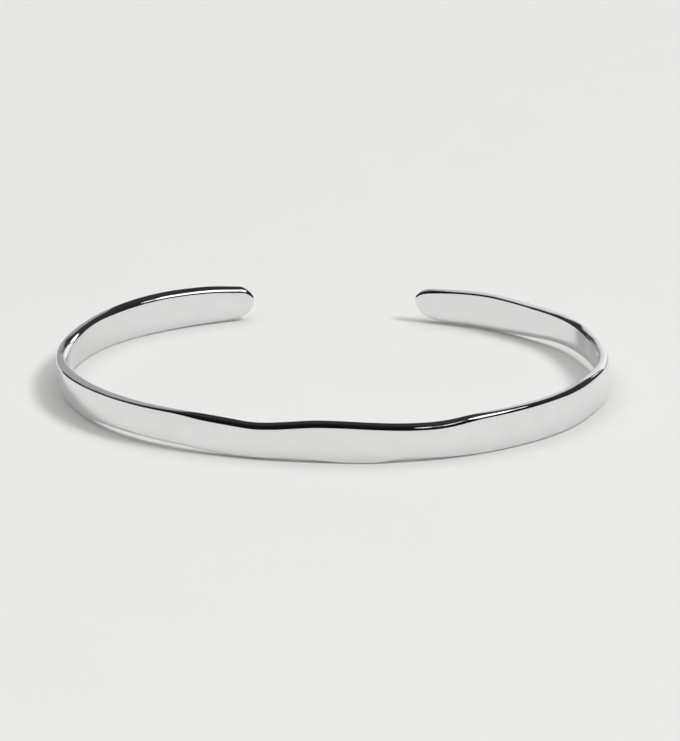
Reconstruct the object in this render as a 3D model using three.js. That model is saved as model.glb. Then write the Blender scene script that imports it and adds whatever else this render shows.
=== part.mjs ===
// An open cuff bracelet of hammered silver, lying on its side.
// One narrow strip with soft shoulders follows an oval and stops short of closing it at the back.
// Millimetres, +Z up. X runs from side to side, the opening faces +Y, and the table is z = 0.
// The origin is on the table, under the middle of the cuff's box.
import * as THREE from "three";

// Plan of the oval, measured on the outside of the strip.
// The opening is measured from tip to tip, and its middle lies a little to the right.
const cuffWidth = 60.7;
const frontDepth = 24.7;
const backDepth = 25.7;
const endGap = 18.9;
const openingOffset = 0.25;

// Section of the strip
const stripWidth = 4.4;
const stripThickness = 1.3;
const shoulderReach = 0.36;
const shoulderDrop = 0.46;

// How far a shoulder is filed flat: 0 is a round one and 1 a straight chamfer
const shoulderFiling = 0.7;

// The foot's outer shoulder as a share of the full size: it was only eased with a file
const footShoulder = 0.5;

// Rounded corners of the two ends: how far each one reaches back along the strip
const leftTipRimCorner = 1.5;
const leftTipFootCorner = 1.9;
const rightTipRimCorner = 1.7;
const rightTipFootCorner = 4.2;
const tipFlat = 0.02;

// A shoulder takes no more than this share of the wall or of the face that it rounds.
// The rim's two shoulders together leave this share of the wall between them
const shoulderLimit = 0.45;
const rimLeft = 0.08;

// How finely the strip is cut into faces
const ovalSteps = 720;
const stationSpacing = 1.3;
const tipStations = 7;
const shoulderSteps = 4;
const outerFaceSteps = 5;
const innerFaceSteps = 4;

// The strip from the left end over the front to the right end, in three tables.
// Each has a row only where something swells, narrows or turns, and is read smoothly in between.
// at: share of the way from the middle of the front to an end, the left side negative

// Its course. out: how far it strays out of the oval. lean: how far its rim leans out over its foot.
// Both and thick are shares of the thickness.
const course = [
  { at: -1, out: 0.1, lean: -0.2, thick: 0.85 },
  { at: -0.9, out: 0.35, lean: -0.13, thick: 0.86 },
  { at: -0.75, out: 0.75, lean: -0.2, thick: 0.95 },
  { at: -0.66, out: 0.52, lean: -0.12, thick: 1.06 },
  { at: -0.6, out: 0.3, lean: 0.05, thick: 1.1 },
  { at: -0.5, out: -0.05, lean: 0.25, thick: 1.1 },
  { at: -0.44, out: -0.03, lean: 0.28, thick: 1.1 },
  { at: -0.3, out: 0.1, lean: 0.14, thick: 1.02 },
  { at: -0.22, out: 0, lean: 0.12, thick: 0.9 },
  { at: -0.15, out: -0.1, lean: 0.2, thick: 0.8 },
  { at: -0.06, out: -0.02, lean: 0.3, thick: 0.78 },
  { at: 0, out: 0.08, lean: 0.3, thick: 0.82 },
  { at: 0.07, out: 0.42, lean: 0.3, thick: 0.84 },
  { at: 0.15, out: 0.6, lean: 0.26, thick: 0.87 },
  { at: 0.35, out: 0.57, lean: 0.23, thick: 0.9 },
  { at: 0.44, out: 0.3, lean: 0.1, thick: 0.95 },
  { at: 0.53, out: 0.24, lean: -0.1, thick: 0.97 },
  { at: 0.63, out: 0.02, lean: -0.04, thick: 0.98 },
  { at: 0.73, out: 0.22, lean: 0.02, thick: 0.99 },
  { at: 0.8, out: -0.06, lean: 0.02, thick: 1 },
  { at: 0.89, out: 0.04, lean: 0.01, thick: 1 },
  { at: 1, out: -0.3, lean: -0.12, thick: 0.96 },
];

// Its wavy rim and foot: heights over the table as shares of the width
const waves = [
  { at: -1, rim: 0.9, foot: 0.12 },
  { at: -0.93, rim: 1, foot: 0.05 },
  { at: -0.86, rim: 1.03, foot: 0.03 },
  { at: -0.74, rim: 0.95, foot: 0.01 },
  { at: -0.66, rim: 0.885, foot: 0.04 },
  { at: -0.57, rim: 0.845, foot: 0.12 },
  { at: -0.43, rim: 0.95, foot: 0.11 },
  { at: -0.32, rim: 0.99, foot: 0.19 },
  { at: -0.22, rim: 1, foot: 0.16 },
  { at: -0.15, rim: 0.95, foot: 0.07 },
  { at: -0.11, rim: 0.9, foot: 0.04 },
  { at: -0.06, rim: 0.98, foot: 0.07 },
  { at: -0.02, rim: 1.04, foot: 0.05 },
  { at: 0.01, rim: 1.03, foot: 0 },
  { at: 0.06, rim: 0.99, foot: 0 },
  { at: 0.1, rim: 0.95, foot: 0.1 },
  { at: 0.15, rim: 0.93, foot: 0.05 },
  { at: 0.21, rim: 1.02, foot: 0.02 },
  { at: 0.42, rim: 1.035, foot: 0.03 },
  { at: 0.53, rim: 0.97, foot: 0.14 },
  { at: 0.65, rim: 0.95, foot: 0.21 },
  { at: 0.74, rim: 0.955, foot: 0.19 },
  { at: 0.87, rim: 0.975, foot: 0.05 },
  { at: 0.95, rim: 0.93, foot: 0.06 },
  { at: 1, rim: 0.89, foot: 0.01 },
];

// Its edges. outer and inner: reach of the rim's two shoulders, 1 the full one.
// roll: how far the rim slopes down from its inner to its outer edge as a share of the thickness.
// heel: drop of the foot's inner shoulder, 1 the full one.
// A shoulder that is under 1 drops and reaches less together.
const edges = [
  { at: -1, outer: 0.3, inner: 1.1, roll: -0.06, heel: 0.4 },
  { at: -0.88, outer: 0.3, inner: 1.2, roll: -0.1, heel: 0.4 },
  { at: -0.79, outer: 0.35, inner: 1.15, roll: -0.04, heel: 0.4 },
  { at: -0.7, outer: 0.5, inner: 1.15, roll: 0.1, heel: 0.4 },
  { at: -0.6, outer: 0.65, inner: 1.4, roll: 0.02, heel: 0.5 },
  { at: -0.53, outer: 0.6, inner: 1.2, roll: 0, heel: 0.5 },
  { at: -0.43, outer: 0.4, inner: 0.5, roll: -0.02, heel: 0.5 },
  { at: -0.35, outer: 0.3, inner: 0.4, roll: -0.03, heel: 0.5 },
  { at: -0.22, outer: 0.45, inner: 0.35, roll: -0.02, heel: 0.5 },
  { at: -0.19, outer: 0.9, inner: 0.3, roll: 0.05, heel: 0.5 },
  { at: -0.15, outer: 1, inner: 0.3, roll: 0.09, heel: 0.5 },
  { at: 0.08, outer: 1.2, inner: 0.3, roll: 0.09, heel: 0.5 },
  { at: 0.15, outer: 1.1, inner: 0.3, roll: 0.08, heel: 0.5 },
  { at: 0.21, outer: 0.95, inner: 0.3, roll: 0, heel: 0.5 },
  { at: 0.3, outer: 0.8, inner: 0.4, roll: -0.03, heel: 0.5 },
  { at: 0.45, outer: 0.9, inner: 0.55, roll: 0, heel: 0.6 },
  { at: 0.55, outer: 0.9, inner: 0.7, roll: 0, heel: 1.1 },
  { at: 0.67, outer: 0.6, inner: 0.6, roll: -0.02, heel: 1.9 },
  { at: 0.79, outer: 0.45, inner: 0.3, roll: 0.01, heel: 1.5 },
  { at: 0.93, outer: 0.45, inner: 0.35, roll: 0, heel: 1 },
  { at: 1, outer: 0.5, inner: 0.6, roll: -0.03, heel: 0.6 },
];

// Marks of the hammer on the two faces, as shallow round-edged hollows.
// at: as above. up: height of the middle of the blow as a share of the width.
// long and tall: reach of the blow each way from its middle as shares of the width.
// deep: share of the thickness.
const outerBlows = [
  { at: -0.93, up: 0.55, long: 1.0, tall: 0.5, deep: 0.05 },
  { at: -0.8, up: 0.5, long: 1.3, tall: 0.6, deep: 0.07 },
  { at: -0.66, up: 0.45, long: 1.1, tall: 0.55, deep: 0.08 },
  { at: -0.56, up: 0.5, long: 0.9, tall: 0.6, deep: 0.07 },
  { at: -0.5, up: 0.5, long: 0.5, tall: 0.45, deep: 0.12 },
  { at: -0.45, up: 0.22, long: 0.8, tall: 0.35, deep: 0.13 },
  { at: -0.4, up: 0.68, long: 0.8, tall: 0.4, deep: 0.06 },
  { at: -0.3, up: 0.45, long: 1.2, tall: 0.6, deep: 0.06 },
  { at: -0.14, up: 0.5, long: 1.4, tall: 0.6, deep: 0.05 },
  { at: 0.04, up: 0.55, long: 1.3, tall: 0.6, deep: 0.06 },
  { at: 0.2, up: 0.45, long: 1.2, tall: 0.6, deep: 0.05 },
  { at: 0.34, up: 0.55, long: 1.1, tall: 0.55, deep: 0.06 },
  { at: 0.46, up: 0.6, long: 0.9, tall: 0.5, deep: 0.08 },
  { at: 0.55, up: 0.45, long: 0.8, tall: 0.5, deep: 0.08 },
  { at: 0.66, up: 0.5, long: 1.1, tall: 0.55, deep: 0.07 },
  { at: 0.82, up: 0.5, long: 1.3, tall: 0.6, deep: 0.06 },
  { at: 0.94, up: 0.5, long: 0.9, tall: 0.5, deep: 0.05 },
];
const innerBlows = [
  { at: -0.88, up: 0.5, long: 1.5, tall: 0.6, deep: 0.05 },
  { at: -0.7, up: 0.5, long: 1.2, tall: 0.6, deep: 0.06 },
  { at: -0.5, up: 0.5, long: 1.2, tall: 0.6, deep: 0.06 },
  { at: -0.25, up: 0.5, long: 1.5, tall: 0.6, deep: 0.05 },
  { at: 0.0, up: 0.5, long: 1.5, tall: 0.6, deep: 0.04 },
  { at: 0.25, up: 0.5, long: 1.5, tall: 0.6, deep: 0.05 },
  { at: 0.52, up: 0.5, long: 1.1, tall: 0.6, deep: 0.06 },
  { at: 0.7, up: 0.55, long: 1.2, tall: 0.6, deep: 0.06 },
  { at: 0.87, up: 0.5, long: 1.4, tall: 0.6, deep: 0.05 },
];

// The oval's centre line: a half ellipse in front, another one behind, and arc length along both
const halfWidth = (cuffWidth - stripThickness) / 2;
const leftHalf = ovalTable(turnOfTip(endGap / 2 - openingOffset));
const rightHalf = ovalTable(turnOfTip(endGap / 2 + openingOffset));

function ovalAt(turn) {
  const depth = (Math.abs(turn) < Math.PI / 2 ? frontDepth : backDepth) - stripThickness / 2;
  return { x: halfWidth * Math.sin(turn), y: -depth * Math.cos(turn) };
}

// Turn from the middle of the front to a tip that lies so far from the middle of the back
function turnOfTip(fromMiddle) {
  return Math.PI - Math.asin(fromMiddle / halfWidth);
}

// Points of one half, each with its distance along the strip from the middle of the front
function ovalTable(lastTurn) {
  const points = [];
  let along = 0;
  for (let i = 0; i <= ovalSteps; i += 1) {
    const point = ovalAt((lastTurn * i) / ovalSteps);
    const last = points[i - 1];
    if (last) along += Math.hypot(point.x - last.x, point.y - last.y);
    points.push({ ...point, along });
  }
  return points;
}

// Place and outward direction on the centre line, at a signed distance from the middle of the front
function placeOnOval(distance) {
  const side = distance < 0 ? -1 : 1;
  const half = distance < 0 ? leftHalf : rightHalf;
  const reach = Math.abs(distance);
  let i = 1;
  while (i < half.length - 1 && half[i].along < reach) i += 1;
  const a = half[i - 1];
  const b = half[i];
  const step = b.along - a.along;
  const t = (reach - a.along) / step;
  return {
    x: side * (a.x + t * (b.x - a.x)),
    y: a.y + t * (b.y - a.y),
    outX: (side * (b.y - a.y)) / step,
    outY: -(b.x - a.x) / step,
  };
}

function lengthOf(half) {
  return half[half.length - 1].along;
}

// Share of the way from the middle of the front to the end on that side, and back to a distance
function shareAt(distance) {
  return distance / lengthOf(distance < 0 ? leftHalf : rightHalf);
}

function distanceAt(share) {
  return share * lengthOf(share < 0 ? leftHalf : rightHalf);
}

// One column of a table, read anywhere between its rows.
// A row that is a swell or a waist is level there, so no curve runs past its rows.
function readColumn(rows, column, at) {
  const last = rows.length - 2;
  let i = 0;
  while (i < last && rows[i + 1].at < at) i += 1;
  const a = rows[i];
  const b = rows[i + 1];
  const span = b.at - a.at;
  const t = THREE.MathUtils.clamp((at - a.at) / span, 0, 1);
  const slopeA = slopeAt(rows, column, i) * span;
  const slopeB = slopeAt(rows, column, i + 1) * span;
  const rise = b[column] - a[column];
  return a[column] + t * (slopeA + t * (3 * rise - 2 * slopeA - slopeB + t * (slopeA + slopeB - 2 * rise)));
}

function slopeAt(rows, column, i) {
  if (i === 0 || i === rows.length - 1) return 0;
  const before = (rows[i][column] - rows[i - 1][column]) / (rows[i].at - rows[i - 1].at);
  const after = (rows[i + 1][column] - rows[i][column]) / (rows[i + 1].at - rows[i].at);
  return before * after > 0 ? (2 * before * after) / (before + after) : 0;
}

// How deep the blows press a face in at a place on it
function blowDepth(blows, distance, height) {
  let depth = 0;
  for (const blow of blows) {
    const dx = (distance - distanceAt(blow.at)) / (blow.long * stripWidth);
    const dz = (height - blow.up * stripWidth) / (blow.tall * stripWidth);
    const near = 1 - dx * dx - dz * dz;
    if (near > 0) depth += blow.deep * stripThickness * near * near;
  }
  return depth;
}

// Share of its full height that a rounded corner leaves at a distance from the tip
function cornerShare(fromTip, corner) {
  const t = THREE.MathUtils.clamp(1 - fromTip / corner, 0, 1);
  return Math.sqrt(1 - t * t);
}

// A section's sizes in millimetres, with the rounded ends worked in
function sizesAt(distance) {
  const at = shareAt(distance);
  const fromTip = (1 - Math.abs(at)) * Math.abs(distanceAt(Math.sign(at)));
  const rimCorner = distance < 0 ? leftTipRimCorner : rightTipRimCorner;
  const footCorner = distance < 0 ? leftTipFootCorner : rightTipFootCorner;
  const rim = stripWidth * readColumn(waves, "rim", at);
  const foot = stripWidth * readColumn(waves, "foot", at);
  const nose = foot + ((rim - foot) * footCorner) / (rimCorner + footCorner);
  const thick = stripThickness * readColumn(course, "thick", at);
  const end = cornerShare(fromTip, shoulderDrop);
  const footReach = Math.min(shoulderReach * footShoulder, shoulderLimit * thick);
  const heel = readColumn(edges, "heel", at);
  const heelReach = Math.min(shoulderReach * Math.min(1, heel), shoulderLimit * thick);
  const outer = readColumn(edges, "outer", at);
  const inner = readColumn(edges, "inner", at);
  const crowding = Math.min(1, ((1 - rimLeft) * thick) / (shoulderReach * (outer + inner)));
  return {
    rim: nose + (rim - nose) * cornerShare(fromTip, rimCorner),
    foot: nose - (nose - foot) * cornerShare(fromTip, footCorner),
    half: thick / 2 - footReach * (1 - end),
    footReach: footReach * end,
    heelReach: heelReach * end,
    heelDrop: shoulderDrop * heel,
    outerReach: shoulderReach * outer * crowding * end,
    innerReach: shoulderReach * inner * crowding * end,
    outerDrop: shoulderDrop * Math.min(1, outer),
    innerDrop: shoulderDrop * Math.min(1, inner),
    roll: stripThickness * readColumn(edges, "roll", at) * end,
    out: stripThickness * readColumn(course, "out", at),
    lean: stripThickness * readColumn(course, "lean", at),
  };
}

// The section's outline, counter-clockwise seen from the right end: u runs outwards and v runs up
function sectionOutline(distance) {
  const sizes = sizesAt(distance);
  const { rim, foot, half, footReach, out, lean, roll } = sizes;
  const limit = shoulderLimit * (rim - foot);
  const footDrop = Math.min(shoulderDrop * footShoulder, limit);
  const heelDrop = Math.min(sizes.heelDrop, limit);
  const outerDrop = Math.min(sizes.outerDrop, limit);
  const innerDrop = Math.min(sizes.innerDrop, limit);
  const outerRim = rim - roll / 2;
  const innerRim = rim + roll / 2;
  const outline = [];
  const shoulder = (side, edge, reach, drop, quarter) => {
    for (let k = 0; k <= shoulderSteps; k += 1) {
      const round = (Math.PI / 2) * (k / shoulderSteps);
      const rise = THREE.MathUtils.lerp(Math.sin(round), k / shoulderSteps, shoulderFiling);
      const run = THREE.MathUtils.lerp(Math.cos(round), 1 - k / shoulderSteps, shoulderFiling);
      const [far, high] = quarter % 2 === 0 ? [run, rise] : [rise, run];
      const v = quarter < 2 ? edge - drop * (1 - high) : edge + drop * (1 - high);
      outline.push({ u: side * (half - reach * (1 - far)), v });
    }
  };
  const face = (side, from, to, steps) => {
    const step = (to - from) / steps;
    for (let k = 1; k < steps; k += 1) outline.push({ u: side * half, v: from + step * k });
  };
  shoulder(1, foot, footReach, footDrop, 3);
  face(1, foot + footDrop, outerRim - outerDrop, outerFaceSteps);
  shoulder(1, outerRim, sizes.outerReach, outerDrop, 0);
  shoulder(-1, innerRim, sizes.innerReach, innerDrop, 1);
  face(-1, innerRim - innerDrop, foot + heelDrop, innerFaceSteps);
  shoulder(-1, foot, sizes.heelReach, heelDrop, 2);
  return outline.map(({ u, v }) => {
    const blows = u > 0 ? outerBlows : innerBlows;
    const onFace = THREE.MathUtils.smoothstep(Math.abs(u), half - footReach, half);
    const pressed = u - Math.sign(u) * onFace * blowDepth(blows, distance, v);
    return { u: pressed + out + lean * ((v - foot) / (rim - foot) - 0.5), v };
  });
}

// Places along the strip where a section is drawn, closer together round the two ends
function stations() {
  const leftTip = Math.max(leftTipRimCorner, leftTipFootCorner);
  const rightTip = Math.max(rightTipRimCorner, rightTipFootCorner);
  const start = distanceAt(-1) + leftTip;
  const stop = distanceAt(1) - rightTip;
  const steps = Math.ceil((stop - start) / stationSpacing);
  const places = [];
  for (let k = 0; k < tipStations; k += 1) places.push(start - leftTip * endEase(tipStations - k));
  for (let i = 0; i <= steps; i += 1) places.push(start + ((stop - start) * i) / steps);
  for (let k = 1; k <= tipStations; k += 1) places.push(stop + rightTip * endEase(k));
  return places;
}

// Share of the way round a rounded end, short of its very tip by the small flat that closes it
function endEase(k) {
  return (1 - tipFlat) * Math.sin(((Math.PI / 2) * k) / tipStations);
}

// The whole strip as one closed skin, lying over the origin by the middle of its box
function cuffGeometry() {
  const places = stations();
  const positions = [];
  const faces = [];
  let count = 0;
  for (const distance of places) {
    const { x, y, outX, outY } = placeOnOval(distance);
    const outline = sectionOutline(distance);
    count = outline.length;
    for (const { u, v } of outline) positions.push(x + outX * u, y + outY * u, v);
  }
  for (let i = 0; i < places.length - 1; i += 1) {
    for (let k = 0; k < count; k += 1) {
      const a = i * count + k;
      const b = i * count + ((k + 1) % count);
      faces.push(a, a + count, b, b, a + count, b + count);
    }
  }
  const last = (places.length - 1) * count;
  for (let k = 1; k < count - 1; k += 1) {
    faces.push(0, k, k + 1);
    faces.push(last, last + k + 1, last + k);
  }
  const geometry = new THREE.BufferGeometry();
  geometry.setAttribute("position", new THREE.Float32BufferAttribute(positions, 3));
  geometry.setIndex(faces);
  geometry.computeBoundingBox();
  const middle = geometry.boundingBox.getCenter(new THREE.Vector3());
  geometry.translate(-middle.x, -middle.y, -geometry.boundingBox.min.z);
  geometry.computeVertexNormals();
  return geometry;
}

const polishedSilver = new THREE.MeshStandardMaterial({ color: 0xd8d7d5, roughness: 0.06, metalness: 1 });
const cuff = new THREE.Mesh(cuffGeometry(), polishedSilver);
cuff.name = "cuff";

const bracelet = new THREE.Group();
bracelet.add(cuff);

export default bracelet;
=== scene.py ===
import math

import bpy
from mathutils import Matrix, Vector


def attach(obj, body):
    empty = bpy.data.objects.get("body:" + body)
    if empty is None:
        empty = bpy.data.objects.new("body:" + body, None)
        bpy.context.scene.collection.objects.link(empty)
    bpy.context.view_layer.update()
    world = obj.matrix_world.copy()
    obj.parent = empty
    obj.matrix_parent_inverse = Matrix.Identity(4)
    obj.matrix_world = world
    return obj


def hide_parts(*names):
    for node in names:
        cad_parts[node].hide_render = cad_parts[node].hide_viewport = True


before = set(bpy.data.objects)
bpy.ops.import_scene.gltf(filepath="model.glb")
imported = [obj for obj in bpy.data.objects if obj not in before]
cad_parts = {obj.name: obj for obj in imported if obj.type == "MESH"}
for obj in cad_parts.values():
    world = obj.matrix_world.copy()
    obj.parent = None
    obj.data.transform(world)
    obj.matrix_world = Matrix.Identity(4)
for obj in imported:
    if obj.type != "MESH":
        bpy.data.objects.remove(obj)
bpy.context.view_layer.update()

# Lengths are in metres. A direction is (azimuth from +Y towards +X, elevation) in degrees
MM = 0.001

# The camera has the photo's view, from in front and a little above
CAMERA_TARGET = Vector((0.85, 0.05, 2.0)) * MM
CAMERA_DIRECTION = (180, 19)
CAMERA_DISTANCE = 450 * MM
CAMERA_NEAR, CAMERA_FAR = 0.01, 20
# In millimetres, as the camera takes them
CAMERA_LENS = 197.6
CAMERA_SENSOR_WIDTH = 36

# The floor lies a hair under the cuff's foot, so that the two share no plane
FLOOR_SIZE = 4.0
FLOOR_DROP = 0.01 * MM
PAPER_COLOUR = (0.83, 0.822, 0.808)
PAPER_ROUGHNESS = 0.6
PAPER_SPECULAR = 0.2
# The clouds change the paper's colour by these two factors
CLOUD_DARK, CLOUD_LIGHT = 0.99, 1.01
CLOUD_SCALE, CLOUD_DETAIL = 70, 3
TOOTH_SCALE, TOOTH_DETAIL = 4000, 2
TOOTH_HEIGHT = 0.02 * MM
TOOTH_STRENGTH = 0.15

# The key lights the table and isn't mirrored in the silver
KEY_DIRECTION = (114, 50)
KEY_DISTANCE = 3.0
KEY_DIAMETER = 1.0
KEY_WATTS = 42

# The bright panes show in reflections only. Each is a direction and a diameter
PANES = ((139, 55), 0.3), (KEY_DIRECTION, 1.2), ((95, 43.5), 0.3), ((33, 19), 0.6)
# They stand nearer than the key, which hides a pane at its own place
PANE_DISTANCE = 2.9
PANE_GLOW = 1.8

# Two wide lamps hang overhead: the fill casts no shadow, and the contact lamp a soft one
OVERHEAD = Vector((0, 0, 1.6))
OVERHEAD_SIZE = 3.0
FILL_WATTS = 36
CONTACT_WATTS = 2

# The card stands behind the table and shows in reflections only
CARD_DISTANCE = 2.0
CARD_HALF_WIDTH = 1.4
CARD_LOW, CARD_HIGH = 0.08, 0.80
CARD_FADE_FROM = 0.66
# Shares of the way from the card's left side to its right one, and the tones there
CARD_TONES = (0.0, 0.3), (0.46, 0.4), (0.53, 0.7), (0.62, 1.0)

# Shares of the way from the camera's side to behind the table, and the room's colours there
ROOM_COLOURS = (0.3, (0.006, 0.006, 0.0055)), (0.8, (0.038, 0.038, 0.035))

# Silver, seen straight on: where it is freshly polished and where it is a little worn
SILVER_BRIGHT = (0.86, 0.865, 0.868, 1.0)
SILVER_WORN = (0.79, 0.795, 0.798, 1.0)

# The scales of the polishing marks and of the wear, as noise textures take them
MARK_SCALE, MARK_DETAIL = 1.6 / MM, 3
MARK_SQUEEZE = 14
WEAR_SCALE, WEAR_DETAIL = 0.5 / MM, 4
# The silver is least rough where the wear noise is under the first, and most rough over the second
WEAR_LOW, WEAR_HIGH = 0.35, 0.7

# Corners of the cuff's faces closer than this are one corner
CUFF_WELD = 0.002 * MM
# Rounds of subdivision that smooth the cuff
CUFF_SMOOTHING = 2


def select_only(piece):
    """Leaves just this object selected and active."""
    bpy.ops.object.select_all(action="DESELECT")
    piece.select_set(True)
    bpy.context.view_layer.objects.active = piece


def direction(azimuth, elevation):
    """Unit vector that points this way from the cuff."""
    a, e = math.radians(azimuth), math.radians(elevation)
    return Vector((math.sin(a) * math.cos(e), math.cos(a) * math.cos(e), math.sin(e)))


def aim(thing, place, target):
    """Puts a camera or a lamp at a place and turns it to a target."""
    thing.location = place
    thing.rotation_euler = (target - place).to_track_quat("-Z", "Y").to_euler()


# Nodes

def new_material(name):
    """A material, its nodes and its links."""
    material = bpy.data.materials.new(name)
    material.use_nodes = True
    return material, material.node_tree.nodes, material.node_tree.links


def feed(links, value, socket):
    """Sets a socket to a number, or links it to another node's socket."""
    if isinstance(value, (int, float)):
        socket.default_value = value
    else:
        links.new(value, socket)


def noise(nodes, links, vector, scale, detail):
    """A noise texture's value at this vector."""
    texture = nodes.new("ShaderNodeTexNoise")
    texture.inputs["Detail"].default_value = detail
    feed(links, scale, texture.inputs["Scale"])
    links.new(vector, texture.inputs["Vector"])
    return texture.outputs["Fac"]


def colour_mix(nodes, first, second):
    """A node that goes from the first colour to the second with its Factor."""
    mix = nodes.new("ShaderNodeMix")
    mix.data_type = "RGBA"
    mix.inputs["A"].default_value = first
    mix.inputs["B"].default_value = second
    return mix


def colour_ramp(nodes, stops):
    """A ramp through these stops, each a position and a colour."""
    ramp = nodes.new("ShaderNodeValToRGB")
    elements = ramp.color_ramp.elements
    elements[0].position = stops[0][0]
    elements[1].position = stops[-1][0]
    for stop in stops[1:-1]:
        elements.new(stop[0])
    for element, (position, colour) in zip(elements, stops):
        element.color = (*colour, 1)
    return ramp


# Camera

def make_camera():
    camera = bpy.data.objects.new("camera", bpy.data.cameras.new("camera"))
    bpy.context.scene.collection.objects.link(camera)
    camera.data.lens = CAMERA_LENS
    camera.data.sensor_width = CAMERA_SENSOR_WIDTH
    camera.data.clip_start = CAMERA_NEAR
    camera.data.clip_end = CAMERA_FAR
    aim(camera, CAMERA_TARGET + CAMERA_DISTANCE * direction(*CAMERA_DIRECTION), CAMERA_TARGET)
    bpy.context.scene.camera = camera


# Studio

def make_floor():
    bpy.ops.mesh.primitive_plane_add(size=FLOOR_SIZE, location=(0, 0, -FLOOR_DROP))
    floor = bpy.context.object
    floor.name = "floor"
    floor.data.materials.append(make_paper())


def make_paper():
    """Smooth pale paper with a faint cloudiness and a fine tooth."""
    material, nodes, links = new_material("pale_paper")
    shader = nodes["Principled BSDF"]
    shader.inputs["Roughness"].default_value = PAPER_ROUGHNESS
    shader.inputs["Specular IOR Level"].default_value = PAPER_SPECULAR
    place = nodes.new("ShaderNodeTexCoord").outputs["Object"]
    dark = [CLOUD_DARK * tone for tone in PAPER_COLOUR] + [1]
    light = [CLOUD_LIGHT * tone for tone in PAPER_COLOUR] + [1]
    tones = colour_mix(nodes, dark, light)
    bump = nodes.new("ShaderNodeBump")
    bump.inputs["Strength"].default_value = TOOTH_STRENGTH
    bump.inputs["Distance"].default_value = TOOTH_HEIGHT
    links.new(noise(nodes, links, place, CLOUD_SCALE, CLOUD_DETAIL), tones.inputs["Factor"])
    links.new(noise(nodes, links, place, TOOTH_SCALE, TOOTH_DETAIL), bump.inputs["Height"])
    links.new(tones.outputs["Result"], shader.inputs["Base Color"])
    links.new(bump.outputs["Normal"], shader.inputs["Normal"])
    return material


def lamp(name, place, size, watts, shape="SQUARE"):
    """An area light that faces the cuff."""
    light = bpy.data.objects.new(name, bpy.data.lights.new(name, "AREA"))
    bpy.context.scene.collection.objects.link(light)
    light.data.shape = shape
    light.data.size = size
    light.data.energy = watts
    aim(light, place, Vector((0, 0, 0)))
    return light


def make_lights():
    key = lamp("key", KEY_DISTANCE * direction(*KEY_DIRECTION), KEY_DIAMETER, KEY_WATTS, "DISK")
    key.visible_glossy = False
    for towards, diameter in PANES:
        # A lamp looks as bright as its watts divided by pi and by its area
        watts = PANE_GLOW * math.pi * (math.pi * diameter ** 2 / 4)
        pane = lamp("key_pane", PANE_DISTANCE * direction(*towards), diameter, watts, "DISK")
        pane.visible_diffuse = False
    fill = lamp("fill", OVERHEAD, OVERHEAD_SIZE, FILL_WATTS)
    fill.data.use_shadow = False
    fill.visible_glossy = False
    contact = lamp("contact", OVERHEAD, OVERHEAD_SIZE, CONTACT_WATTS)
    contact.visible_glossy = False


def make_card():
    """A pale card stood behind the table for the silver to mirror."""
    middle = Vector((0, CARD_DISTANCE, (CARD_LOW + CARD_HIGH) / 2))
    bpy.ops.mesh.primitive_plane_add(size=1, location=middle, rotation=(math.pi / 2, 0, 0))
    card = bpy.context.object
    card.name = "backdrop_card"
    card.scale = (2 * CARD_HALF_WIDTH, CARD_HIGH - CARD_LOW, 1)
    select_only(card)
    bpy.ops.object.transform_apply(location=True, rotation=True, scale=True)
    card.visible_camera = False
    card.visible_diffuse = False
    card.visible_shadow = False
    card.data.materials.append(make_card_glow())


def make_card_glow():
    """Light from the card, brighter to the right and fading at its top."""
    material, nodes, links = new_material("lit_card")
    nodes.clear()
    place = nodes.new("ShaderNodeTexCoord")
    parts = nodes.new("ShaderNodeSeparateXYZ")
    across = nodes.new("ShaderNodeMapRange")
    across.inputs["From Min"].default_value = -CARD_HALF_WIDTH
    across.inputs["From Max"].default_value = CARD_HALF_WIDTH
    ramp = colour_ramp(nodes, [(share, (tone, tone, tone)) for share, tone in CARD_TONES])
    fade = nodes.new("ShaderNodeMapRange")
    fade.interpolation_type = "SMOOTHSTEP"
    fade.inputs["From Min"].default_value = CARD_FADE_FROM
    fade.inputs["From Max"].default_value = CARD_HIGH
    fade.inputs["To Min"].default_value = 1.0
    fade.inputs["To Max"].default_value = 0.0
    glow = nodes.new("ShaderNodeEmission")
    out = nodes.new("ShaderNodeOutputMaterial")
    links.new(place.outputs["Object"], parts.inputs["Vector"])
    links.new(parts.outputs["X"], across.inputs["Value"])
    links.new(across.outputs["Result"], ramp.inputs["Fac"])
    links.new(ramp.outputs["Color"], glow.inputs["Color"])
    links.new(parts.outputs["Z"], fade.inputs["Value"])
    links.new(fade.outputs["Result"], glow.inputs["Strength"])
    links.new(glow.outputs["Emission"], out.inputs["Surface"])
    return material


def make_room():
    """A dark room, a little lighter behind the table than on the camera's side."""
    world = bpy.data.worlds.new("studio")
    bpy.context.scene.world = world
    world.use_nodes = True
    nodes, links = world.node_tree.nodes, world.node_tree.links
    place = nodes.new("ShaderNodeTexCoord")
    parts = nodes.new("ShaderNodeSeparateXYZ")
    # The room's Y runs from -1 on the camera's side to 1 behind the table
    share = nodes.new("ShaderNodeMapRange")
    share.inputs["From Min"].default_value = -1
    ramp = colour_ramp(nodes, ROOM_COLOURS)
    links.new(place.outputs["Generated"], parts.inputs["Vector"])
    links.new(parts.outputs["Y"], share.inputs["Value"])
    links.new(share.outputs["Result"], ramp.inputs["Fac"])
    links.new(ramp.outputs["Color"], nodes["Background"].inputs["Color"])
    bpy.context.scene.view_settings.view_transform = "Standard"


# Silver

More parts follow.
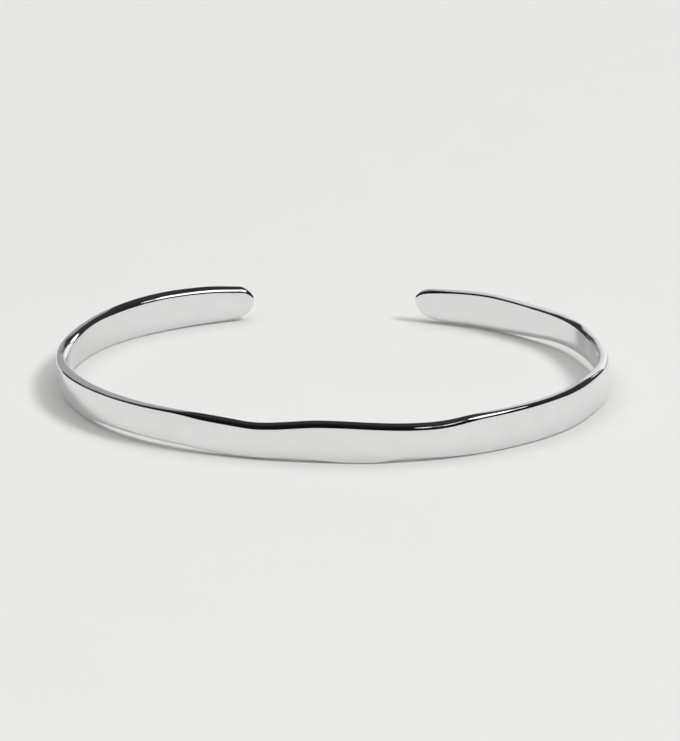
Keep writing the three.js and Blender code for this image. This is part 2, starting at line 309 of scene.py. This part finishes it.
def make_polish_group():
    """Hand-worked metal: soft ripples left by the hammer, fine polishing marks and uneven shine."""
    group = bpy.data.node_groups.new("hand_polish", "ShaderNodeTree")
    for name, value in (
        ("Ripple Size mm", 3.5),
        ("Ripple Depth mm", 0.07),
        ("Mark Depth mm", 0.0003),
        ("Least Roughness", 0.04),
        ("Most Roughness", 0.1),
    ):
        socket = group.interface.new_socket(name, in_out="INPUT", socket_type="NodeSocketFloat")
        socket.default_value = value
    for name, kind in (("Wear", "Float"), ("Roughness", "Float"), ("Normal", "Vector")):
        group.interface.new_socket(name, in_out="OUTPUT", socket_type="NodeSocket" + kind)
    nodes, links = group.nodes, group.links
    given = nodes.new("NodeGroupInput")
    result = nodes.new("NodeGroupOutput")
    place = nodes.new("ShaderNodeTexCoord").outputs["Object"]

    def maths(operation, first, second):
        node = nodes.new("ShaderNodeMath")
        node.operation = operation
        feed(links, first, node.inputs[0])
        feed(links, second, node.inputs[1])
        return node.outputs[0]

    ripple_scale = maths("DIVIDE", 1 / MM, given.outputs["Ripple Size mm"])
    # A ripple is smooth, so its noise has no finer detail
    ripples = noise(nodes, links, place, ripple_scale, 0)
    # The polishing marks run level, so their pattern is squeezed upwards
    squeeze = nodes.new("ShaderNodeMapping")
    squeeze.inputs["Scale"].default_value = (1, 1, MARK_SQUEEZE)
    links.new(place, squeeze.inputs["Vector"])
    marks = noise(nodes, links, squeeze.outputs["Vector"], MARK_SCALE, MARK_DETAIL)
    wear = noise(nodes, links, place, WEAR_SCALE, WEAR_DETAIL)
    height = maths(
        "ADD",
        maths("MULTIPLY", ripples, given.outputs["Ripple Depth mm"]),
        maths("MULTIPLY", marks, given.outputs["Mark Depth mm"]),
    )
    bump = nodes.new("ShaderNodeBump")
    bump.inputs["Distance"].default_value = MM
    links.new(height, bump.inputs["Height"])
    shine = nodes.new("ShaderNodeMapRange")
    shine.inputs["From Min"].default_value = WEAR_LOW
    shine.inputs["From Max"].default_value = WEAR_HIGH
    links.new(wear, shine.inputs["Value"])
    links.new(given.outputs["Least Roughness"], shine.inputs["To Min"])
    links.new(given.outputs["Most Roughness"], shine.inputs["To Max"])
    links.new(wear, result.inputs["Wear"])
    links.new(shine.outputs["Result"], result.inputs["Roughness"])
    links.new(bump.outputs["Normal"], result.inputs["Normal"])
    return group


def make_silver():
    """Polished silver, a little darker and duller where it is worn."""
    material, nodes, links = new_material("polished_silver")
    shader = nodes["Principled BSDF"]
    shader.inputs["Metallic"].default_value = 1.0
    polish = nodes.new("ShaderNodeGroup")
    polish.node_tree = make_polish_group()
    tint = colour_mix(nodes, SILVER_BRIGHT, SILVER_WORN)
    links.new(polish.outputs["Wear"], tint.inputs["Factor"])
    links.new(tint.outputs["Result"], shader.inputs["Base Color"])
    links.new(polish.outputs["Roughness"], shader.inputs["Roughness"])
    links.new(polish.outputs["Normal"], shader.inputs["Normal"])
    return material


# The cuff

def make_cuff(silver):
    """The CAD strip with its corners merged, its triangles paired and its surface smoothed."""
    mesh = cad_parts["cuff"].data.copy()
    cuff = bpy.data.objects.new("hammered_cuff", mesh)
    bpy.context.scene.collection.objects.link(cuff)
    mesh.materials.clear()
    mesh.materials.append(silver)
    select_only(cuff)
    bpy.ops.object.mode_set(mode="EDIT")
    bpy.ops.mesh.select_all(action="SELECT")
    bpy.ops.mesh.remove_doubles(threshold=CUFF_WELD)
    # The widest limits, so that as many triangles as can be pair into four-sided faces
    bpy.ops.mesh.tris_convert_to_quads(face_threshold=math.pi, shape_threshold=math.pi)
    bpy.ops.object.mode_set(mode="OBJECT")
    smooth = cuff.modifiers.new("smooth", "SUBSURF")
    smooth.levels = smooth.render_levels = CUFF_SMOOTHING
    bpy.ops.object.modifier_apply(modifier="smooth")
    bpy.ops.object.shade_smooth()
    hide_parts("cuff")
    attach(cuff, "root")


make_camera()
make_floor()
make_lights()
make_card()
make_room()
make_cuff(make_silver())
